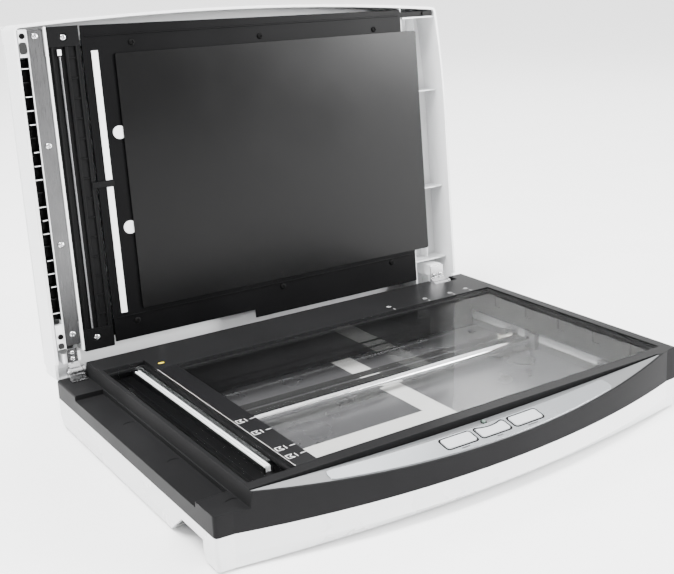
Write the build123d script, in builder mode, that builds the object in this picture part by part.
from build123d import *
from math import cos, radians, sin, sqrt
import os

# Flatbed scanner with a document feeder in its lid, modelled with the lid standing open.
#
# Millimetres, +Z up; +X is the operator's right and -Y the front. The pieces are drawn about
# the middle of the base, and moved at the end so that the origin lies on the table under the
# middle of the whole open scanner. Lid pieces are drawn as the lid lies shut, on a work plane
# through the hinge axis, and that plane is tilted back by the open angle.

os.makedirs("parts", exist_ok=True)

origin_y = 34.7             # the open scanner's middle, behind the middle of its base

# ---------------------------------------------------------------- base: driving dimensions
half_width = 205.5          # outer half width of the base
rear_y = 158.0              # back face
corner_y = -130.0           # front corners
shoulder_x = 193.0          # where the straight corner flats meet the bowed front
bow_y = -159.0              # foremost point of the bow
foot_height = 2.0
tub_floor_z = foot_height   # underside of the lower housing
ridge_z = 11.0              # crease between the tapered foot band and the upright walls
seam_z = 25.5               # lower housing meets the dark top frame
deck_z = 40.3               # low deck at the left
exit_deck_z = 36.3          # sunk paper exit on that deck
top_z = 51.5                # raised frame round the glass
wall = 2.5
plate = 5.6                 # thickness of the raised frame's plate, glass seats included
gap = 0.3                   # clearance kept between pieces of different bodies
snug = 0.1                  # clearance between pieces fixed to each other
corner_radius = 3.0

step_x = -181.0             # top edge of the slanted step between low deck and raised frame
step_run = 1.6              # how far that step leans out on its way down to the deck
border_y = -131.0           # front edge of the raised border
panel_gap = 1.2             # dark groove behind the control panel
panel_half = 181.0          # half length of the crescent control panel
panel_dish = 4.5            # sag of the crescent's rear edge at mid length
panel_slope = 11.7          # degrees the crescent falls towards the front
panel_thickness = 2.4

glass_thickness = 3.0
glass_recess = 0.6          # glass top below the frame's top
seat = 2.5                  # width of the ledge that carries each glass
main_x0, main_x1 = -126.8, 195.7
main_y0, main_y1 = -119.7, 98.8
feed_x0, feed_x1 = -178.0, -143.5
feed_y0, feed_y1 = -122.0, 124.7

glass_top_z = top_z - glass_recess
glass_low_z = glass_top_z - glass_thickness
bay_roof_z = top_z - plate

# ---------------------------------------------------------------- lid: driving dimensions
hinge_y = 150.0
hinge_z = 46.7
open_angle = 93.3           # degrees from shut to the open stop
rim_h = 5.4                 # rim of the lid above the hinge axis when shut
mat_h = 5.1
liner_h = 7.0
shell_h = 38.0              # outer face of the lid plate
shell_wall = 2.4
lid_left, lid_right = -205.0, 200.5
lid_free = -276.0           # free edge at the corners, measured from the hinge axis
lid_bow = 5.5
lid_back = 8.0              # back wall behind the hinge axis
hump_h = 62.0               # top of the feeder

lid = Plane(
    origin=(0, hinge_y, hinge_z),
    x_dir=(1, 0, 0),
    z_dir=(0, sin(radians(open_angle)), cos(radians(open_angle))),
)


def keep(piece, name):
    """Labels a finished piece, puts it about the scanner's origin and writes its own file."""
    piece.part.move(Pos(0, -origin_y, 0))
    piece.part.label = name
    export_step(piece.part, f"parts/{name}.step")


def block(x0, x1, y0, y1, z0, z1):
    """A box between two corners, for use inside a part's own block."""
    size = (x1 - x0, y1 - y0, z1 - z0)
    return Pos((x0 + x1) / 2, (y0 + y1) / 2, (z0 + z1) / 2) * Box(*size, mode=Mode.PRIVATE)


def is_near(edge, axis, value):
    """True where an edge's middle lies at a value along one axis."""
    return abs(tuple(edge.center())[axis] - value) < snug


def footprint(inset=0.0, front_rise=0.0, radius=corner_radius):
    """Plan outline of the base: square back, short front flats and one long bow."""
    side = half_width - inset
    front = corner_y + inset
    with BuildSketch() as shape:
        with BuildLine():
            Polyline(
                (-shoulder_x, front - 1),
                (-side, front),
                (-side, rear_y - inset),
                (side, rear_y - inset),
                (side, front),
                (shoulder_x, front - 1),
            )
            ThreePointArc(
                (-shoulder_x, front - 1),
                (0, bow_y + inset + front_rise),
                (shoulder_x, front - 1),
            )
        make_face()
        fillet(shape.vertices().filter_by(lambda v: abs(v.X) > side - snug), radius)
    return shape.sketch


# ================================================================ base casings
grip_y0, grip_y1, grip_y2 = -111.5, -80.0, -56.0
grip_height = 18.0
grip_depth = 11.0
rod_y, rod_z, rod_radius = 40.0, 13.5, 4.0
belt_y, belt_z0, belt_z1 = 66.0, 8.0, 14.0
pulley_radius = 6.0
drive_x, idler_x = -190.5, 189.0
board_x0, board_x1 = -20.0, 140.0
jack_x, usb_x, switch_x = 10.0, 60.0, 110.0
port_z0, port_z1 = 8.6, 20.0
floor_z = tub_floor_z + wall
boss_radius = 3.5
bosses = [
    (-100.0, -132.0, 33.0),
    (100.0, -132.0, 33.0),
    (-192.0, -100.0, 33.4),
    (-192.0, 110.0, 33.4),
    (-110.0, 148.0, 37.4),
    (150.0, 148.0, 37.4),
]
foot_places = [(-180.0, -118.0), (180.0, -118.0), (-180.0, 138.0), (180.0, 138.0)]
foot_radius = 8.0


def tub(inset, low_z, high_z):
    """The tapered and upright walls of the lower housing, as one closed body."""
    radius = corner_radius - inset * 0.8
    with BuildPart() as shape:
        with BuildSketch(Plane.XY.offset(low_z)):
            add(footprint(inset + 1.3, 10.7, radius))
        with BuildSketch(Plane.XY.offset(ridge_z)):
            add(footprint(inset, 0, radius))
        loft(ruled=True)
        with BuildSketch(Plane.XY.offset(ridge_z)):
            add(footprint(inset, 0, radius))
        extrude(amount=high_z - ridge_z)
    return shape.part


with BuildPart() as lower_housing:
    add(tub(0, tub_floor_z, seam_z))
    add(tub(wall, floor_z, seam_z + wall), mode=Mode.SUBTRACT)
    for side in (-1, 1):
        inner, outer = side * (half_width - grip_depth - wall), side * (half_width - wall + 0.6)
        x0, x1 = sorted((inner, outer))
        add(block(x0, x1, grip_y0 - wall, grip_y2 + wall, tub_floor_z, grip_height + wall))
        with BuildSketch(Plane.YZ.offset(side * (half_width - grip_depth))):
            with BuildLine():
                Polyline(
                    (grip_y0, 0),
                    (grip_y0, grip_height),
                    (grip_y1, grip_height),
                    (grip_y2, 0),
                    close=True,
                )
            make_face()
        extrude(amount=side * (grip_depth + wall), mode=Mode.SUBTRACT)
    for x, y, top in bosses:
        with Locations((x, y, tub_floor_z + snug)):
            Cylinder(boss_radius, top - tub_floor_z - snug, align=(Align.CENTER, Align.CENTER, Align.MIN))
        with Locations((x, y, tub_floor_z)):
            Cylinder(2.8, 5.0, align=(Align.CENTER, Align.CENTER, Align.MIN), mode=Mode.SUBTRACT)
            Cylinder(1.3, 24.0, align=(Align.CENTER, Align.CENTER, Align.MIN), mode=Mode.SUBTRACT)
    for x0, x1 in ((-202.0, -181.0), (197.5, 202.5)):
        add(block(x0, x1, rod_y - 7, rod_y + 7, floor_z - snug, rod_z + 6))
    with Locations(Location((0, rod_y, rod_z), (0, 90, 0))):
        Cylinder(rod_radius + 0.05, 404.0, mode=Mode.SUBTRACT)
    for x, half in ((jack_x, 7.0), (usb_x, 7.5), (switch_x, 11.0)):
        add(
            block(x - half, x + half, rear_y - 6, rear_y + 4, port_z0 - snug, port_z1 + snug),
            mode=Mode.SUBTRACT,
        )
    with Locations(*[(x, y, tub_floor_z) for x, y in foot_places]):
        Cylinder(
            foot_radius + snug, 1.0, align=(Align.CENTER, Align.CENTER, Align.MIN), mode=Mode.SUBTRACT
        )
keep(lower_housing, "lower_housing")


exit_y0, exit_y1 = -104.0, 114.0
rear_step_y = 154.0
dish_radius = (panel_half**2 + panel_dish**2) / (2 * panel_dish)
bow_height = corner_y - 1 - bow_y
bow_radius = (shoulder_x**2 + bow_height**2) / (2 * bow_height)
bow_centre_y = bow_y + bow_radius
lip = 1.4                   # width of the frame's rim in front of the control panel
pocket_x0, pocket_x1, pocket_y0 = 164.5, 190.0, 139.0
pocket_z = 41.6


def above_panel(lift):
    """Space above the control panel's surface, which is dished and falls to the front."""
    face = Plane(
        origin=(0, border_y, top_z),
        x_dir=(1, 0, 0),
        z_dir=(0, -cos(radians(panel_slope)), -sin(radians(panel_slope))),
    )
    reach = panel_half + 30
    end_rise = dish_radius - sqrt(dish_radius**2 - reach**2) - panel_dish + lift
    with BuildPart() as space:
        with BuildSketch(face):
            with BuildLine():
                ThreePointArc((-reach, end_rise), (0, lift - panel_dish), (reach, end_rise))
                Polyline((-reach, end_rise), (-reach, 40), (reach, 40), (reach, end_rise))
            make_face()
        extrude(amount=60)
    return space.part


def crescent(front_inset, rear, half=panel_half):
    """Plan shape between a straight rear edge and a line parallel to the bowed front."""
    with BuildSketch() as shape:
        with Locations((0, bow_centre_y)):
            Circle(bow_radius - front_inset)
        with Locations((0, rear)):
            Rectangle(2 * half, 60, align=(Align.CENTER, Align.MAX), mode=Mode.INTERSECT)
    return shape.sketch


def panel_slab(plan, low, high):
    """A plate that follows the control panel's surface between two heights."""
    with BuildPart() as shape:
        with BuildSketch(Plane.XY.offset(seam_z)):
            add(plan)
        extrude(amount=top_z - seam_z + 5)
        add(above_panel(low), mode=Mode.INTERSECT)
        add(above_panel(high), mode=Mode.SUBTRACT)
    return shape.part


def under_roof():
    """Inside of the top frame: below the low deck, the raised plate and the control panel."""
    with BuildPart() as space:
        with BuildSketch(Plane.XY.offset(seam_z)):
            add(footprint(wall, 0, corner_radius - wall * 0.8))
        extrude(amount=top_z - seam_z)
        add(block(-210, feed_x0 - snug, -170, 170, exit_deck_z - wall, 60), mode=Mode.SUBTRACT)
        add(block(-210, 210, -170, 170, bay_roof_z, 60), mode=Mode.SUBTRACT)
        add(block(-210, 210, rear_step_y - wall, 170, deck_z - wall, 60), mode=Mode.SUBTRACT)
        add(above_panel(-panel_thickness - wall), mode=Mode.SUBTRACT)
    return space.part


button_pitch, button_length, button_depth = 30.0, 25.0, 10.2
button_x, button_y = -0.5, -145.2
button_proud = 0.9
button_window = (-48.0, 47.0, -152.0, -138.6)


with BuildPart() as top_frame:
    with BuildSketch(Plane.XY.offset(seam_z)):
        add(footprint())
    extrude(amount=top_z - seam_z)
    # low deck at the left, with its slanted step up to the raised frame
    with BuildSketch(Plane.XZ.offset(-rear_y - 1)):
        with BuildLine():
            Polyline(
                (-210, deck_z),
                (step_x - step_run, deck_z),
                (step_x, top_z),
                (step_x, top_z + 5),
                (-210, top_z + 5),
                close=True,
            )
        make_face()
    extrude(amount=rear_y + 180, mode=Mode.SUBTRACT)
    add(
        block(-210, step_x - step_run - 0.6, exit_y0, exit_y1, exit_deck_z, deck_z + 1),
        mode=Mode.SUBTRACT,
    )
    # the raised part stops short of the back face
    add(block(-210, 210, rear_step_y, rear_y + 1, deck_z, top_z + 1), mode=Mode.SUBTRACT)
    # control panel: a dished shelf in front of the border
    add(above_panel(0), mode=Mode.SUBTRACT)
    add(panel_slab(crescent(lip, border_y + 1), -panel_thickness, 10), mode=Mode.SUBTRACT)
    add(under_roof(), mode=Mode.SUBTRACT)
    add(block(*button_window, seam_z, top_z), mode=Mode.SUBTRACT)
    add(block(button_x - 2.2, button_x + 2.2, -140, -133.2, seam_z, top_z), mode=Mode.SUBTRACT)
    # pocket for the right hinge
    add(block(pocket_x0 - wall, pocket_x1 + wall, pocket_y0 - wall, rear_step_y, pocket_z - wall, top_z - 1))
    add(
        block(pocket_x0, pocket_x1, pocket_y0, rear_y + 1, pocket_z, top_z + 1),
        mode=Mode.SUBTRACT,
    )
    # dark walls hanging round the bay, the right one with notches
    add(block(feed_x0 + 1, 198.3, 126.4, 128.0, 6.0, bay_roof_z + 1))
    add(block(196.4, 198.3, -118.0, 128.0, 22.0, bay_roof_z + 1))
    for index in range(5):
        y0 = -96.0 + index * 44.0
        add(block(195, 200, y0, y0 + 9.0, 34.0, bay_roof_z), mode=Mode.SUBTRACT)
    # openings: glass lies in a rebate on a narrow ledge
    for x0, x1, y0, y1 in (
        (main_x0, main_x1, main_y0, main_y1),
        (feed_x0, feed_x1, feed_y0, feed_y1),
    ):
        add(block(x0, x1, y0, y1, glass_low_z, top_z + 1), mode=Mode.SUBTRACT)
        add(
            block(x0 + seat, x1 - seat, y0 + seat, y1 - seat, bay_roof_z - 1, top_z),
            mode=Mode.SUBTRACT,
        )
    # edges rounded as the moulding's are
    edges = top_frame.edges().filter_by(Axis.X)
    fillet(edges.filter_by(lambda e: is_near(e, 1, rear_step_y) and is_near(e, 2, top_z)), 2.2)
    edges = top_frame.edges().filter_by(Axis.X)
    fillet(edges.filter_by(lambda e: is_near(e, 1, rear_y) and is_near(e, 2, deck_z)), 1.5)
    edges = top_frame.edges().filter_by(Axis.Y)
    fillet(edges.filter_by(lambda e: is_near(e, 0, half_width) and is_near(e, 2, top_z)), 1.2)
keep(top_frame, "top_frame")


# ================================================================ control panel
label_x0, label_x1 = -130.5, 116.0
label_rear, label_rear_mid = -134.4, -137.4
label_inset = 2.2
label_height = 0.4
panel_rear = border_y - panel_gap


def button_outline(index, grow=0.0):
    """Plan outline of one button; the middle one has a scooped rear edge."""
    centre_x = button_x + (index - 1) * button_pitch
    x0, x1 = centre_x - button_length / 2 - grow, centre_x + button_length / 2 + grow
    y0, y1 = button_y - button_depth / 2 - grow, button_y + button_depth / 2 + grow
    scoop = 2.2 if index == 1 else 0.0
    with BuildSketch() as shape:
        with BuildLine():
            Polyline((x0, y1), (x0, y0), (x1, y0), (x1, y1))
            if scoop:
                ThreePointArc((x1, y1), (centre_x, y1 - scoop), (x0, y1))
            else:
                Line((x1, y1), (x0, y1))
        make_face()
        fillet(shape.vertices(), 1.8 + grow / 2)
    return shape.sketch


def label_outline():
    """Plan outline of the silver label: parallel to the lip in front, faintly bowed behind."""
    with BuildSketch() as shape:
        add(crescent(label_inset, label_rear))
        middle, half = (label_x0 + label_x1) / 2, (label_x1 - label_x0) / 2
        with BuildSketch(mode=Mode.INTERSECT):
            with BuildLine():
                Polyline((label_x0, label_rear), (label_x0, -165), (label_x1, -165), (label_x1, label_rear))
                ThreePointArc(
                    (label_x0, label_rear), (middle, label_rear_mid), (label_x1, label_rear)
                )
            make_face()
        fillet(shape.vertices(), 4.0)
    return shape.sketch


lens_x, lens_y, lens_radius = button_x, -135.2, 1.5

with BuildPart() as control_panel:
    add(panel_slab(crescent(lip + snug, panel_rear), -panel_thickness, 0))
    add(panel_slab(label_outline(), -label_height, 5), mode=Mode.SUBTRACT)
    for index in range(3):
        add(panel_slab(button_outline(index, 0.4), -6, 5), mode=Mode.SUBTRACT)
    with Locations((lens_x, lens_y, seam_z)):
        Cylinder(
            lens_radius + snug, 40, align=(Align.CENTER, Align.CENTER, Align.MIN), mode=Mode.SUBTRACT
        )
keep(control_panel, "control_panel")

with BuildPart() as panel_label:
    add(panel_slab(label_outline(), -label_height, label_height))
    for index in range(3):
        add(panel_slab(button_outline(index, 0.4), -6, 5), mode=Mode.SUBTRACT)
keep(panel_label, "panel_label")

with BuildPart() as status_lens:
    with Locations((lens_x, lens_y, 43.0)):
        Cylinder(lens_radius, 4.4, align=(Align.CENTER, Align.CENTER, Align.MIN))
    fillet(status_lens.faces().sort_by(Axis.Z)[-1].edges(), 0.6)
keep(status_lens, "status_lens")

switch_top_z = 35.6
for index, name in enumerate(("scan_button", "pdf_button", "custom_button")):
    with BuildPart() as button:
        add(panel_slab(button_outline(index), -4.2, button_proud))
        add(panel_slab(button_outline(index, 1.2), -4.2, -panel_thickness - gap - 0.1))
        with Locations((button_x + (index - 1) * button_pitch, button_y, 37.2)):
            Cylinder(1.6, 4.5, align=(Align.CENTER, Align.CENTER, Align.MIN))
    keep(button, name.replace("pdf", "file").replace("custom", "copy"))

with BuildPart() as button_board:
    add(block(-56, 56, -149.5, -137.5, 32.2, 33.8))
    with Locations(*[(button_x + (i - 1) * button_pitch, button_y + 0.6, 33.7) for i in range(3)]):
        Box(6, 6, switch_top_z - 33.7 - 0.6, align=(Align.CENTER, Align.CENTER, Align.MIN))
        Cylinder(1.5, switch_top_z - 33.7, align=(Align.CENTER, Align.CENTER, Align.MIN))
keep(button_board, "button_board")


# ================================================================ glass
with BuildPart() as main_glass:
    add(block(main_x0 + snug, main_x1 - snug, main_y0 + snug, main_y1 - snug, glass_low_z, glass_top_z))
keep(main_glass, "main_glass")

with BuildPart() as feeder_glass:
    add(block(feed_x0 + snug, feed_x1 - snug, feed_y0 + snug, feed_y1 - snug, glass_low_z, glass_top_z))
keep(feeder_glass, "feeder_glass")


# ================================================================ carriage
carriage_x0, carriage_x1 = -176.8, -124.6
carriage_y0, carriage_y1 = -108.0, 125.4
carriage_z0, carriage_z1 = 23.0, 41.0
slit_x = -151.1
lamp_y0, lamp_y1 = -98.0, 121.5
lamp_top = bay_roof_z - 0.6
skin = 2.0

with BuildPart() as carriage_body:
    add(block(carriage_x0, carriage_x1, carriage_y0, carriage_y1, carriage_z0, carriage_z1 - skin))
    add(
        block(
            carriage_x0 + skin,
            carriage_x1 - skin,
            carriage_y0 + skin,
            carriage_y1 - skin,
            carriage_z0 + skin,
            carriage_z1,
        ),
        mode=Mode.SUBTRACT,
    )
    # saddle with the guide bore, and the pad that slides on the front rail
    add(block(carriage_x0, carriage_x1, rod_y - 9, rod_y + 9, rod_z - 6.5, carriage_z0 + skin))
    add(block(carriage_x0 + 8, carriage_x1 - 8, -106.5, -101.5, 15.3 + gap, carriage_z0 + skin))
    with Locations(Location((carriage_x0, rod_y, rod_z), (0, 90, 0))):
        Cylinder(
            rod_radius + 2.0,
            carriage_x1 - carriage_x0 + 2,
            align=(Align.CENTER, Align.CENTER, Align.MIN),
            mode=Mode.SUBTRACT,
        )
    # belt clamp: two jaws either side of the front belt run
    for y0, y1 in ((-3.4, -1.2), (1.2, 3.4)):
        run_y = belt_y - pulley_radius
        add(block(slit_x - 8, slit_x + 8, run_y + y0, run_y + y1, belt_z0 - 0.5, carriage_z0 + skin))
keep(carriage_body, "carriage_body")

with BuildPart() as carriage_cover:
    add(block(carriage_x0, carriage_x1, carriage_y0, carriage_y1, carriage_z1 - skin + 0.05, carriage_z1))
    for x0, x1 in ((slit_x - 3.9, slit_x - 2.6), (slit_x + 2.6, slit_x + 3.9)):
        add(block(x0, x1, lamp_y0 - 2, lamp_y1 + 2, carriage_z1 - skin + 0.05, lamp_top - 0.5))
    for x in (-172.0, -168.0, -164.0, -137.0, -131.0):
        add(block(x - 0.6, x + 0.6, carriage_y0 + 4, carriage_y1 - 4, carriage_z1 - snug, carriage_z1 + 0.8))
    add(
        block(slit_x - 0.5, slit_x + 0.5, lamp_y0, lamp_y1, carriage_z1 - 5, carriage_z1 + 5),
        mode=Mode.SUBTRACT,
    )
keep(carriage_cover, "carriage_cover")

with BuildPart() as lamp_bars:
    for x0, x1 in ((slit_x - 2.0, slit_x - 0.4), (slit_x + 0.4, slit_x + 2.0)):
        add(block(x0, x1, lamp_y0, lamp_y1, carriage_z1 + 0.05, lamp_top))
    fillet(lamp_bars.edges().filter_by(Axis.Y).group_by(Axis.Z)[-1], 0.4)
keep(lamp_bars, "lamp_bars")

with BuildPart() as mirrors:
    for x, z, tilt in ((slit_x, 29.5, 45), (-171.0, 29.5, -78), (-145.0, 34.5, 12)):
        with Locations(Location((x, (carriage_y0 + carriage_y1) / 2, z), (0, tilt, 0))):
            Box(7.0, carriage_y1 - carriage_y0 - 10, 1.2)
keep(mirrors, "mirrors")

with BuildPart() as scan_lens:
    with Locations(Location((-143.5, 8, 29.0), (0, 90, 0))):
        Cylinder(3.9, 9.0, align=(Align.CENTER, Align.CENTER, Align.MIN))
        Cylinder(3.2, 11.0, align=(Align.CENTER, Align.CENTER, Align.MIN))
keep(scan_lens, "scan_lens")

with BuildPart() as sensor_board:
    add(block(-130.6, -129.2, -32, 48, carriage_z0 + skin + snug, 38.4))
    add(block(-131.9, -130.6, -12, 28, 27.0, 31.0))
keep(sensor_board, "sensor_board")

with BuildPart() as carriage_bushes:
    for x in (carriage_x0, carriage_x1 - 8):
        with Locations(Location((x, rod_y, rod_z), (0, 90, 0))):
            Cylinder(rod_radius + 1.95, 8, align=(Align.CENTER, Align.CENTER, Align.MIN))
            Cylinder(
                rod_radius + 0.06,
                8,
                align=(Align.CENTER, Align.CENTER, Align.MIN),
                mode=Mode.SUBTRACT,
            )
keep(carriage_bushes, "carriage_bushes")


# ================================================================ drive under the glass
with BuildPart() as guide_rod:
    with Locations(Location((0, rod_y, rod_z), (0, 90, 0))):
        Cylinder(rod_radius, 403.0)
    chamfer(guide_rod.edges(), 0.6)
keep(guide_rod, "guide_rod")

with BuildPart() as front_rail:
    add(block(-179.0, 191.0, -110.0, -100.0, floor_z + 0.05, 8.0))
    add(block(-179.0, 191.0, -106.5, -101.5, floor_z + 0.05, 15.3))
    for step in range(15):
        x = -172.0 + step * 24.0
        add(block(x - 0.7, x + 0.7, -109.6, -101.5, 7.5, 12.5))
keep(front_rail, "front_rail")

with BuildPart() as scan_belt:
    with BuildSketch(Plane.XY.offset(belt_z0 + 0.6)):
        centre = (drive_x + idler_x) / 2
        with Locations((centre, belt_y)):
            SlotCenterToCenter(idler_x - drive_x, 2 * pulley_radius + 1.8)
            SlotCenterToCenter(idler_x - drive_x, 2 * pulley_radius + 0.6, mode=Mode.SUBTRACT)
    extrude(amount=belt_z1 - belt_z0 - 1.2)
keep(scan_belt, "scan_belt")


def toothed_pulley(x, shaft_low, shaft_high):
    """A belt pulley with flanges and teeth on its own upright shaft."""
    with BuildPart() as pulley:
        with Locations((x, belt_y, belt_z0)):
            Cylinder(pulley_radius - 0.7, belt_z1 - belt_z0, align=(Align.CENTER, Align.CENTER, Align.MIN))
            Cylinder(pulley_radius + 1.4, 0.4, align=(Align.CENTER, Align.CENTER, Align.MIN))
        with Locations((x, belt_y, belt_z1 - 0.4)):
            Cylinder(pulley_radius + 1.4, 0.4, align=(Align.CENTER, Align.CENTER, Align.MIN))
        with BuildSketch(Plane.XY.offset(belt_z0)):
            with Locations((x, belt_y)):
                with PolarLocations(pulley_radius - 0.7, 18):
                    Rectangle(1.2, 1.0)
        extrude(amount=belt_z1 - belt_z0)
        with Locations((x, belt_y, shaft_low)):
            Cylinder(1.5, shaft_high - shaft_low, align=(Align.CENTER, Align.CENTER, Align.MIN))
    return pulley


drive_pulley = toothed_pulley(drive_x, 6.0, 18.0)
keep(drive_pulley, "drive_pulley")
idler_pulley = toothed_pulley(idler_x, 6.0, 17.0)
keep(idler_pulley, "idler_pulley")

with BuildPart() as scan_motor:
    with Locations((drive_x, belt_y, belt_z1 + gap)):
        Cylinder(10.5, 13.5, align=(Align.CENTER, Align.CENTER, Align.MIN))
        Box(19.0, 34.0, 1.2, align=(Align.CENTER, Align.CENTER, Align.MIN))
        Cylinder(1.56, 5.0, align=(Align.CENTER, Align.CENTER, Align.MIN), mode=Mode.SUBTRACT)
keep(scan_motor, "scan_motor")

with BuildPart() as idler_bracket:
    add(block(idler_x - 8, 201.2, belt_y - 5, belt_y + 5, floor_z + 0.05, 6.2))
    add(block(199.6, 201.2, belt_y - 5, belt_y + 5, floor_z + 0.05, 18.0))
    add(block(idler_x - 8, 201.2, belt_y - 5, belt_y + 5, 16.4, 18.0))
    with Locations((idler_x, belt_y, floor_z)):
        Cylinder(1.56, 20, align=(Align.CENTER, Align.CENTER, Align.MIN), mode=Mode.SUBTRACT)
keep(idler_bracket, "idler_bracket")

with BuildPart() as main_board:
    add(block(board_x0, board_x1, 128.0, 151.0, 7.0, 8.5))
    for x, y, half, tall in ((25, 136, 6, 1.6), (85, 137, 5, 1.4), (125, 140, 4, 6.0), (-8, 140, 4, 7.0)):
        add(block(x - half, x + half, y - half, y + half, 8.4, 8.4 + tall))
    add(block(34, 54, 129, 133, 8.4, 13))
keep(main_board, "main_board")

with BuildPart() as dc_jack:
    add(block(jack_x - 6.8, jack_x + 6.8, rear_y - 13, rear_y - 0.2, port_z0, port_z1))
    with Locations(Location((jack_x, rear_y, (port_z0 + port_z1) / 2), (90, 0, 0))):
        Cylinder(4.2, 10, align=(Align.CENTER, Align.CENTER, Align.MIN), mode=Mode.SUBTRACT)
        Cylinder(1.1, 9.5, align=(Align.CENTER, Align.CENTER, Align.MIN))
keep(dc_jack, "dc_jack")

with BuildPart() as usb_port:
    add(block(usb_x - 7.3, usb_x + 7.3, rear_y - 15, rear_y - 0.2, port_z0, port_z1))
    add(
        block(usb_x - 5.9, usb_x + 5.9, rear_y - 12, rear_y + 1, port_z0 + 1.0, port_z1 - 1.0),
        mode=Mode.SUBTRACT,
    )
    add(block(usb_x - 3.6, usb_x + 3.6, rear_y - 12.5, rear_y - 2.5, 13.0, 15.6))
keep(usb_port, "usb_port")

with BuildPart() as switch_housing:
    add(block(switch_x - 10.8, switch_x + 10.8, rear_y - 12, rear_y - 0.2, port_z0, port_z1))
    add(
        block(switch_x - 9.6, switch_x + 9.6, rear_y - 9, rear_y + 1, port_z0 + 1.2, port_z1 - 1.2),
        mode=Mode.SUBTRACT,
    )
    with Locations((switch_x, rear_y - 4.2, port_z0)):
        Cylinder(0.95, 14, align=(Align.CENTER, Align.CENTER, Align.MIN), mode=Mode.SUBTRACT)
keep(switch_housing, "switch_housing")

with BuildPart() as power_rocker:
    with BuildSketch(Plane.XY.offset(port_z0 + 1.6)):
        with BuildLine():
            Polyline(
                (switch_x - 8.6, rear_y - 2.6),
                (switch_x, rear_y - 1.2),
                (switch_x + 8.6, rear_y - 0.6),
                (switch_x + 8.6, rear_y - 3.0),
                (switch_x, rear_y - 6.5),
                (switch_x - 8.6, rear_y - 4.4),
                close=True,
            )
        make_face()
    extrude(amount=port_z1 - port_z0 - 3.2)
    with Locations((switch_x, rear_y - 4.2, port_z0 + 0.4)):
        Cylinder(0.9, port_z1 - port_z0 - 0.8, align=(Align.CENTER, Align.CENTER, Align.MIN))
keep(power_rocker, "power_rocker")

with BuildPart() as flat_cable:
    add(block(34, 54, -34, 128.8, floor_z + 0.1, floor_z + 0.5))
    add(block(-130, 54, -34, -14, floor_z + 0.1, floor_z + 0.5))
keep(flat_cable, "flat_cable")

with BuildPart() as rubber_feet:
    with Locations(*[(x, y, 0) for x, y in foot_places]):
        Cylinder(foot_radius, 2.95, align=(Align.CENTER, Align.CENTER, Align.MIN))
    fillet(rubber_feet.faces().group_by(Axis.Z)[0].edges(), 0.8)
keep(rubber_feet, "rubber_feet")

with BuildPart() as housing_screws:
    for x, y, top in bosses:
        with Locations((x, y, tub_floor_z + 2.9)):
            Cylinder(2.6, 1.8, align=(Align.CENTER, Align.CENTER, Align.MIN))
            Cylinder(1.25, 16, align=(Align.CENTER, Align.CENTER, Align.MIN))
        for angle in (0, 90):
            with Locations(Location((x, y, tub_floor_z + 2.9), (0, 0, angle))):
                Box(
                    3.2, 0.7, 1.0, align=(Align.CENTER, Align.CENTER, Align.MIN), mode=Mode.SUBTRACT
                )
keep(housing_screws, "housing_screws")


# ================================================================ hinges
hinge_pin_radius = 1.8
knuckle_radius = 3.6
ear_radius = 4.2
ear_thickness = 1.8
left_hinge = (-197.6, -184.6, deck_z)
right_hinge = (168.0, 187.5, pocket_z)


def across(x, height=0.0):
    """Plane square to the hinge axis, sketch axes +Y and +Z of the base."""
    return Plane(origin=(x, hinge_y, hinge_z + height), x_dir=(0, 1, 0), z_dir=(1, 0, 0))


with BuildPart() as hinge_brackets:
    for x0, x1, floor in (left_hinge, right_hinge):
        low = floor + snug - hinge_z
        add(block(x0, x1, hinge_y - 8.5, hinge_y + 3.6, floor + snug, floor + 1.4))
        for ear_x in (x0, x1 - ear_thickness):
            with BuildSketch(across(ear_x)):
                Circle(ear_radius)
                with Locations((0, low / 2)):
                    Rectangle(7.2, -low)
            extrude(amount=ear_thickness)
        with Locations(((x0 + x1) / 2, hinge_y - 5.6, floor)):
            Cylinder(1.5, 6, mode=Mode.SUBTRACT)
        with BuildSketch(across(x0 - 1)):
            Circle(hinge_pin_radius + 0.05)
        extrude(amount=x1 - x0 + 2, mode=Mode.SUBTRACT)
keep(hinge_brackets, "hinge_brackets")

with BuildPart() as hinge_pins:
    for x0, x1, floor in (left_hinge, right_hinge):
        with BuildSketch(across(x0 - 0.6)):
            Circle(hinge_pin_radius)
        extrude(amount=x1 - x0 + 1.2)
keep(hinge_pins, "hinge_pins")


# ================================================================ lid: helpers
def on_lid(x0, x1, u0, u1, w0, w1):
    """A box on the lid: x, reach from the hinge axis, height above it when shut."""
    return lid.location * Pos((x0 + x1) / 2, -(u0 + u1) / 2, (w0 + w1) / 2) * Box(
        x1 - x0, u1 - u0, w1 - w0, mode=Mode.PRIVATE
    )


def lid_section(reach):
    """Plane across the lid, sketch axes x and height, facing the free edge."""
    return Plane(
        origin=(lid.location * Pos(0, -reach, 0)).position,
        x_dir=(1, 0, 0),
        z_dir=-lid.y_dir,
    )


def lid_outline(inset=0.0, radius=5.0):
    """Plan outline of the lid: bowed free edge, faintly bowed right side."""
    left, right = lid_left + inset, lid_right - inset
    back = lid_back - inset
    far_left, far_right = lid_free + inset, lid_free + 5.5 + inset
    with BuildSketch() as shape:
        with BuildLine():
            Polyline((right, -150), (right, back), (left, back), (left, far_left))
            ThreePointArc((left, far_left), (-30, lid_free - lid_bow + inset), (right - 6, far_right))
            ThreePointArc((right - 6, far_right), (right - 1.4, -215), (right, -150))
        make_face()
        fillet(shape.vertices().sort_by(Axis.Y)[:2], radius)
        fillet(shape.vertices().sort_by(Axis.Y)[-2:], radius * 0.6)
    return shape.sketch


def lid_plate(outline, w0, w1):
    """A plan outline given thickness between two heights of the lid."""
    with BuildPart() as shape:
        with BuildSketch(lid.offset(w0)):
            add(outline)
        extrude(amount=w1 - w0)
    return shape.part


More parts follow.
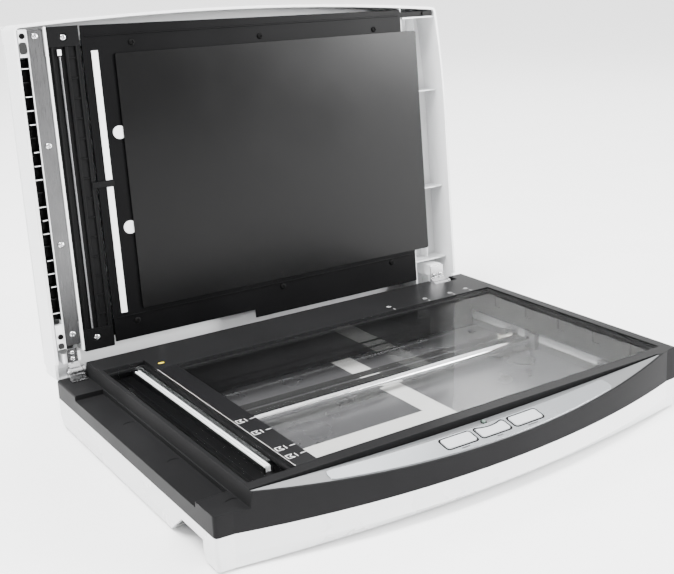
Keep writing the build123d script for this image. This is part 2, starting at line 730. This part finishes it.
# ================================================================ lid shell
frame_left, frame_right = -202.6, -180.2      # inner frame of the feeder's underside
cheek_u = ((0.0, 14.0), (262.0, 276.0))
bay_x0, bay_x1, bay_u0, bay_u1 = -198.0, -99.0, 14.0, 262.0
right_hinge_pad = (171.5, 184.0, 8.0, 19.0)
left_hinge_pad = (-198.4, -184.0, 6.0, 14.0)


bearing_play = 0.05
cover_axis_x, cover_axis_w, cover_pin = -202.5, 40.3, 0.8
tray_axis_x, tray_axis_w, tray_pin = -95.0, 40.3, 1.1


def hump_profile(inset=0.0, left=-204.0, right=-97.0):
    """Rounded cross-section of the feeder above the lid plate."""
    low, top = shell_h - 0.5, hump_h - inset
    x0, x1 = left + inset, right - inset
    with BuildSketch() as shape:
        with BuildLine():
            Polyline((x0 + 34, top), (x1 - 9, top))
            ThreePointArc((x1 - 9, top), (x1 - 2.6, top - 2.6), (x1, top - 9))
            Polyline((x1, top - 9), (x1, low), (x0, low), (x0, shell_h + 3))
            ThreePointArc((x0, shell_h + 3), (x0 + 9, top - 6.5), (x0 + 34, top))
        make_face()
    return shape.sketch


# stiffening ribs, most of them in the open strip right of the liner
with BuildPart() as shell_ribs:
    add(on_lid(180.2, 181.4, -6.5, 280, 24.0, shell_h - 1))
    for u in (22.6, 95.0, 191.0):
        add(on_lid(155.0, 205, u - 0.6, u + 0.6, 16.0, shell_h - 1))
    add(on_lid(156.0, 205, 261.0, 262.6, rim_h + 2, shell_h - 1))
    add(on_lid(154.6, 156.2, -6.5, 280, 9.2, shell_h - 1))
    add(lid_plate(lid_outline(shell_wall - snug, 3.0), 0, shell_h), mode=Mode.INTERSECT)

with BuildPart() as lid_shell:
    add(lid_plate(lid_outline(), rim_h, shell_h))
    fillet(lid_shell.faces().sort_by(Axis.Y)[-1].edges(), 4.5)
    for u0, u1 in cheek_u:
        with BuildSketch(lid_section(u0)):
            add(hump_profile())
        extrude(amount=u1 - u0)
    add(lid_plate(lid_outline(shell_wall, 3.0), rim_h - 1, shell_h - shell_wall), mode=Mode.SUBTRACT)
    # clear of the base round the hinge axis
    add(on_lid(-210, 210, -12, 6.4, 0, 9.0), mode=Mode.SUBTRACT)
    # feeder bay under the cover
    add(on_lid(bay_x0, bay_x1, bay_u0, bay_u1, 30, 70), mode=Mode.SUBTRACT)
    for u0, u1 in cheek_u:
        with BuildSketch(lid_section(u0 + 1.6)):
            add(hump_profile(2.4))
        extrude(amount=u1 - u0 - 3.2, mode=Mode.SUBTRACT)
    # pads behind the hinge leaves
    for x0, x1, u0, u1 in (right_hinge_pad, left_hinge_pad):
        add(on_lid(x0, x1, u0, u1, 7.0, shell_h - 1))
    add(shell_ribs.part)
    # bores for the cover's end pins and ears for the tray's
    with BuildSketch(lid_section(0)):
        with Locations((cover_axis_x, cover_axis_w)):
            Circle(cover_pin + bearing_play)
    extrude(amount=280, mode=Mode.SUBTRACT)
    for u0 in (16.6, 252.4):
        with BuildSketch(lid_section(u0)):
            with Locations((tray_axis_x, tray_axis_w)):
                Circle(2.4)
            with Locations((tray_axis_x, shell_h - 0.5)):
                Rectangle(4.8, 4.4)
            with Locations((tray_axis_x, tray_axis_w)):
                Circle(tray_pin + bearing_play, mode=Mode.SUBTRACT)
        extrude(amount=3.0)
keep(lid_shell, "lid_shell")

# ================================================================ lid underside
liner_x0, liner_x1 = -153.0, 153.8
mat_x0, mat_x1, mat_u0, mat_u1 = -127.6, 169.0, 38.3, 249.7
liner_screw_places = [
    (-112.0, 257.5),
    (4.2, 255.0),
    (122.8, 253.5),
    (-133.2, 29.0),
    (5.5, 30.5),
    (125.4, 30.5),
]

with BuildPart() as lid_liner:
    with BuildSketch(lid.offset(liner_h)):
        with BuildLine():
            Polyline(
                (liner_x0, -14.6),
                (liner_x0, -273.2),
                (liner_x1, -269.6),
                (liner_x1, -7.2),
                (-23.5, -7.2),
                (-23.5, -14.6),
                close=True,
            )
        make_face()
    extrude(amount=1.6)
    add(on_lid(liner_x1 - 1, mat_x1 - 0.6, mat_u0 + 0.6, mat_u1 - 0.6, liner_h, liner_h + 1.6))
    for u0, u1 in ((264.0, 265.2), (33.6, 34.6)):
        add(on_lid(liner_x0 + 3, liner_x1 - 3, u0, u1, liner_h - 0.6, liner_h + 0.4))
    for x in (-100.0, -20.0, 60.0, 140.0):
        add(on_lid(x - 0.8, x + 0.8, 16, 268, liner_h + 1.5, liner_h + 6))
    # ledge across the far right corner, with its rubber-like stop
    add(on_lid(liner_x1 - 1, 190.5, 262.9, 267.6, liner_h, 8.9))
    with BuildSketch(lid.offset(liner_h - 1.2)):
        with Locations((183.4, -265.2)):
            SlotOverall(9.0, 4.6)
    extrude(amount=1.4)
    with BuildSketch(lid.offset(liner_h - 1)):
        with Locations(*[(x, -u) for x, u in liner_screw_places]):
            Circle(1.7)
    extrude(amount=6, mode=Mode.SUBTRACT)
keep(lid_liner, "lid_liner")

with BuildPart() as document_mat:
    add(on_lid(mat_x0, mat_x1, mat_u0, mat_u1, mat_h, liner_h - 0.05))
    fillet(document_mat.edges().filter_by(Axis((0, 0, 0), tuple(lid.z_dir))), 2.0)
keep(document_mat, "document_mat")

slot_x0, slot_x1, slot_u0, slot_u1 = -202.6, -195.5, 42.0, 251.4
rib_pitch = 10.8

frame_screw_places = [(-198.6, 267.6), (-198.2, 29.0)]

with BuildPart() as feeder_frame:
    add(on_lid(slot_x1, -194.8, 18.4, 272.0, 6.0, 14.6))
    add(on_lid(-182.0, frame_right, 14.2, 273.6, 5.6, 18.0))
    for u0, u1 in ((251.4, 272.6), (18.4, 38.5)):
        add(on_lid(frame_left + 1.0, -195.0, u0, u1, 6.6, 8.4))
        add(on_lid(frame_left + 1.0, -195.0, u0, u0 + 1.4, 6.6, 12.0))
        add(on_lid(frame_left + 1.0, -195.0, u1 - 1.4, u1, 6.6, 12.0))
        add(on_lid(-195.0, -181.0, (u0 + u1) / 2 - 1, (u0 + u1) / 2 + 1, 9.2, 12.0))
    # ribs that keep the sheets off the slot's floor: every fourth is low, the others vary in reach
    for index in range(19):
        u = slot_u0 + 6.5 + index * rib_pitch
        low = 11.5 if index % 4 == 1 else 7.6
        reach_x = slot_x0 + (0.0, 1.6, 2.6, 0.8, 2.0)[index % 5]
        add(on_lid(reach_x, slot_x1 + 0.4, u - 0.35, u + 0.35, low, 14.3))
    with BuildSketch(lid.offset(6)):
        with Locations(*[(x, -u) for x, u in frame_screw_places]):
            Circle(1.5)
    extrude(amount=4, mode=Mode.SUBTRACT)
keep(feeder_frame, "feeder_frame")

with BuildPart() as exit_slot_back:
    add(on_lid(slot_x0 + 0.2, slot_x1 - 0.1, slot_u0, slot_u1 - 1.6, 14.4, 16.0))
keep(exit_slot_back, "exit_slot_back")

plate_screw_places = [(-188.6, 182.0), (-188.6, 103.0), (-188.8, 267.0), (-188.2, 29.0)]

with BuildPart() as steel_plate:
    add(on_lid(-194.6, -182.2, 38.7, 251.2, 6.7, 7.9))
    # lower brackets at its ends
    for u0, u1 in ((20.0, 39.5), (250.4, 271.6)):
        add(on_lid(-194.2, -182.6, u0, u1, 7.4, 8.6))
    for x, u in plate_screw_places:
        with BuildSketch(lid.offset(6)):
            with Locations((x, -u)):
                Circle(1.7)
        extrude(amount=4, mode=Mode.SUBTRACT)
keep(steel_plate, "steel_plate")

guide_screw_places = [(-167.3, 264.8), (-168.8, 22.4)]

with BuildPart() as reading_guide:
    add(on_lid(-179.8, -154.2, 12.4, 273.4, 8.0, 12.0))
    for u0, u1 in ((12.4, 30.0), (257.6, 273.4)):
        add(on_lid(-179.6, -155.2, u0, u1, 5.6, 8.1))
    for x0, x1, low in ((-177.6, -176.0, 6.8), (-167.0, -164.6, 6.0), (-158.4, -157.2, 6.4)):
        add(on_lid(x0, x1, 30.0, 257.6, low, 8.2))
    for u in range(40, 250, 16):
        add(on_lid(-164.6, -158.4, u, u + 1.2, 7.0, 8.2))
    add(on_lid(-158.0, -154.0, 143.8, 148.8, 5.6, 8.2))
    add(on_lid(-158.0, -139.8, 143.8, 148.8, 5.6, 6.9))
    with BuildSketch(lid.offset(5)):
        with Locations(*[(x, -u) for x, u in guide_screw_places]):
            Circle(1.7)
    extrude(amount=8, mode=Mode.SUBTRACT)
    with BuildSketch(lid.offset(5)):
        with Locations(*[(x, -u) for x, u in guide_screw_places]):
            Circle(3.2)
    extrude(amount=2.0, mode=Mode.SUBTRACT)
    # white block at the shaft's end is a separate moulding seat
    add(on_lid(-173.2, -170.0, 250.4, 256.0, 6.2, 8.2))
keep(reading_guide, "reading_guide")

with BuildPart() as guide_shaft:
    with BuildSketch(lid_section(30.4)):
        with Locations((-171.6, 6.9)):
            Circle(0.9)
    extrude(amount=219.6)
keep(guide_shaft, "guide_shaft")

with BuildPart() as white_strip:
    add(on_lid(-146.2, -141.2, 38.0, 143.4, 5.8, 6.9))
    add(on_lid(-146.2, -141.2, 149.2, 253.0, 5.8, 6.9))
keep(white_strip, "white_strip")

with BuildPart() as contact_discs:
    with BuildSketch(lid.offset(5.7)):
        with Locations((-130.6, -186.4), (-130.6, -108.0)):
            Circle(5.4)
    extrude(amount=1.2)
    add(on_lid(mat_x0 - snug, 0, 0, 280, 0, 10), mode=Mode.SUBTRACT)
keep(contact_discs, "contact_discs")

with BuildPart() as lid_bumpers:
    with BuildSketch(lid.offset(5.4)):
        with Locations((-198.8, -258.4)):
            RectangleRounded(5.4, 9.0, 2.0)
    extrude(amount=1.15)
    with BuildSketch(lid.offset(5.4)):
        with Locations((-198.6, -21.4)):
            RectangleRounded(4.4, 4.4, 1.4)
    extrude(amount=1.15)
keep(lid_bumpers, "lid_bumpers")


def screw_head(x, u, seat_w, shank=6.0, radius=2.6):
    """Cross-head screw driven into the lid's underside."""
    with BuildPart() as screw:
        with BuildSketch(lid.offset(seat_w - 1.5)):
            with Locations((x, -u)):
                Circle(radius)
        extrude(amount=1.4)
        with BuildSketch(lid.offset(seat_w - 0.2)):
            with Locations((x, -u)):
                Circle(1.4)
        extrude(amount=shank)
        for long, wide in ((radius * 1.3, 0.7), (0.7, radius * 1.3)):
            with BuildSketch(lid.offset(seat_w - 1.6)):
                with Locations((x, -u)):
                    Rectangle(long, wide)
            extrude(amount=0.8, mode=Mode.SUBTRACT)
    return screw.part


with BuildPart() as liner_screws:
    for x, u in liner_screw_places:
        add(screw_head(x, u, liner_h))
    for x, u in frame_screw_places:
        add(screw_head(x, u, 6.6, 1.6, 2.2))
keep(liner_screws, "liner_screws")

with BuildPart() as lid_screws:
    for index, (x, u) in enumerate(plate_screw_places):
        add(screw_head(x, u, 6.7 if index < 2 else 7.4, 1.6))
    for x, u in guide_screw_places:
        add(screw_head(x, u, 7.0, 4.0))
keep(lid_screws, "lid_screws")


# ================================================================ lid hinge leaves
with BuildPart() as hinge_leaves:
    for x0, x1 in ((-195.5, -186.7), (170.1, 185.4)):
        with BuildSketch(Plane(origin=(x0, hinge_y, hinge_z), x_dir=-lid.y_dir, z_dir=(-1, 0, 0))):
            Circle(knuckle_radius)
            with BuildLine():
                Polyline(
                    (1.0, 2.0), (1.0, 6.9), (18.0, 6.9), (18.0, 5.5), (6.5, 5.5), (3.0, 1.0), close=True
                )
            make_face()
            Circle(hinge_pin_radius + 0.05, mode=Mode.SUBTRACT)
        extrude(amount=-(x1 - x0))
keep(hinge_leaves, "hinge_leaves")


# ================================================================ feeder in the lid
pick_x, pick_w, pick_radius = -111.0, 49.2, 6.4
feed_x, feed_w, feed_radius = -137.0, 32.3, 6.4
exit_x, exit_w, exit_radius = -188.4, 17.0, 4.0
shaft_radius = 2.5
plate_u = (19.0, 255.4)
plate_t = 1.8
shaft_u0, shaft_u1 = 17.0, 259.2

with BuildPart() as feeder_side_plates:
    for u in plate_u:
        with BuildSketch(lid_section(u)):
            with BuildLine():
                Polyline(
                    (-193.5, 18.4),
                    (-193.5, 44.0),
                    (-186.0, 52.0),
                    (-168.0, 56.5),
                    (-112.0, 56.5),
                    (-104.5, 51.0),
                    (-104.5, 40.0),
                    (-124.0, 12.6),
                    (-179.6, 12.6),
                    (-179.6, 18.4),
                    close=True,
                )
            make_face()
            with Locations((pick_x, pick_w), (feed_x, feed_w)):
                Circle(shaft_radius + bearing_play, mode=Mode.SUBTRACT)
            with Locations((exit_x, exit_w)):
                Circle(4.4)
                Circle(shaft_radius + bearing_play, mode=Mode.SUBTRACT)
        extrude(amount=plate_t)
keep(feeder_side_plates, "feeder_side_plates")


def roller(x, w, radius, rubber_places):
    """A shaft through both side plates, carrying rubber sleeves."""
    with BuildPart() as piece:
        with BuildSketch(lid_section(shaft_u0)):
            with Locations((x, w)):
                Circle(shaft_radius)
        extrude(amount=shaft_u1 - shaft_u0)
        for u, length in rubber_places:
            with BuildSketch(lid_section(u - length / 2)):
                with Locations((x, w)):
                    Circle(radius)
            extrude(amount=length)
    return piece


pick_roller = roller(pick_x, pick_w, pick_radius, [(136.0, 36.0)])
keep(pick_roller, "pick_roller")
feed_roller = roller(feed_x, feed_w, feed_radius, [(70.0, 18.0), (136.0, 30.0), (202.0, 18.0)])
keep(feed_roller, "feed_roller")
exit_rubber = [(60.0, 14.0), (111.0, 14.0), (161.0, 14.0), (212.0, 14.0)]
exit_roller = roller(exit_x, exit_w, exit_radius, exit_rubber)
keep(exit_roller, "exit_roller")

with BuildPart() as feed_ramp:
    with BuildSketch(lid_section(plate_u[0] + plate_t + snug)):
        with BuildLine():
            Polyline(
                (-98.6, 41.0),
                (-118.2, 41.0),
                (-141.0, 18.2),
                (-146.0, 13.6),
                (-143.8, 13.6),
                (-139.8, 17.2),
                (-117.6, 39.4),
                (-98.6, 39.4),
                close=True,
            )
        make_face()
    extrude(amount=plate_u[1] - plate_u[0] - plate_t - 2 * snug)
keep(feed_ramp, "feed_ramp")

with BuildPart() as separation_pad:
    add(on_lid(-114.0, -106.0, 121.0, 151.0, 41.05, 42.4))
keep(separation_pad, "separation_pad")

cover_u0, cover_u1 = cheek_u[0][1] + gap, cheek_u[1][0] - gap
cover_w0 = shell_h + 1.2

with BuildPart() as feeder_cover:
    with BuildSketch(lid_section(cover_u0)):
        add(hump_profile())
        add(hump_profile(2.4), mode=Mode.SUBTRACT)
    extrude(amount=cover_u1 - cover_u0)
    add(on_lid(-210, -90, 0, 280, 30, cover_w0), mode=Mode.SUBTRACT)
    add(on_lid(-130, -90, 0, 280, 30, 53.0), mode=Mode.SUBTRACT)
    for u in (60.0, 98.0, 174.0, 212.0):
        with BuildSketch(lid_section(u)):
            add(hump_profile(2.0))
            add(hump_profile(4.6), mode=Mode.SUBTRACT)
            with Locations((-90, 30)):
                Rectangle(90, 30, align=(Align.MAX, Align.MIN), mode=Mode.SUBTRACT)
            with Locations((-150, cover_w0 - 10)):
                Rectangle(150, 20, mode=Mode.SUBTRACT)
        extrude(amount=1.6)
    with BuildSketch(lid_section(cover_u0 - 1.4)):
        with Locations((cover_axis_x, cover_axis_w)):
            Circle(cover_pin)
    extrude(amount=cover_u1 - cover_u0 + 2.8)
keep(feeder_cover, "feeder_cover")

tray_x0, tray_x1, tray_u0, tray_u1 = -95.0, 72.0, 20.0, 252.0
tray_w0, tray_w1 = shell_h + 0.5, 42.0

with BuildPart() as input_tray:
    add(on_lid(tray_x0, tray_x1, tray_u0, tray_u1, tray_w0, tray_w1))
    fillet(input_tray.edges().filter_by(Axis((0, 0, 0), tuple(lid.z_dir))), 8.0)
    add(on_lid(-12.0, tray_x1 + 1, 79.7, 192.3, tray_w0 - 1, tray_w0 + 2.0), mode=Mode.SUBTRACT)
    for u in range(40, 240, 24):
        add(on_lid(-40.0, 60.0, u - 0.6, u + 0.6, tray_w1 - 0.1, tray_w1 + 0.8))
    with BuildSketch(lid_section(tray_u0 - 3.0)):
        with Locations((tray_axis_x, tray_axis_w)):
            Circle(tray_pin)
    extrude(amount=tray_u1 - tray_u0 + 6.0)
keep(input_tray, "input_tray")

with BuildPart() as tray_extension:
    add(on_lid(-10.0, 71.0, 80.0, 192.0, tray_w0 + 0.1, tray_w0 + 1.7))
    fillet(tray_extension.edges().filter_by(Axis((0, 0, 0), tuple(lid.z_dir))), 6.0)
    add(on_lid(68.0, 71.0, 110.0, 162.0, tray_w0 + 0.1, tray_w0 + 1.7))
keep(tray_extension, "tray_extension")

for u0, u1, foot_u0, foot_u1, name in (
    (245.0, 247.0, 227.0, 245.5, "front_paper_guide"),
    (25.0, 27.0, 26.5, 45.0, "rear_paper_guide"),
):
    with BuildPart() as paper_guide:
        add(on_lid(-86.0, -44.0, u0, u1, tray_w1 + gap, 54.0))
        add(on_lid(-86.0, -44.0, foot_u0, foot_u1, tray_w1 + gap, tray_w1 + gap + 1.2))
    keep(paper_guide, name)
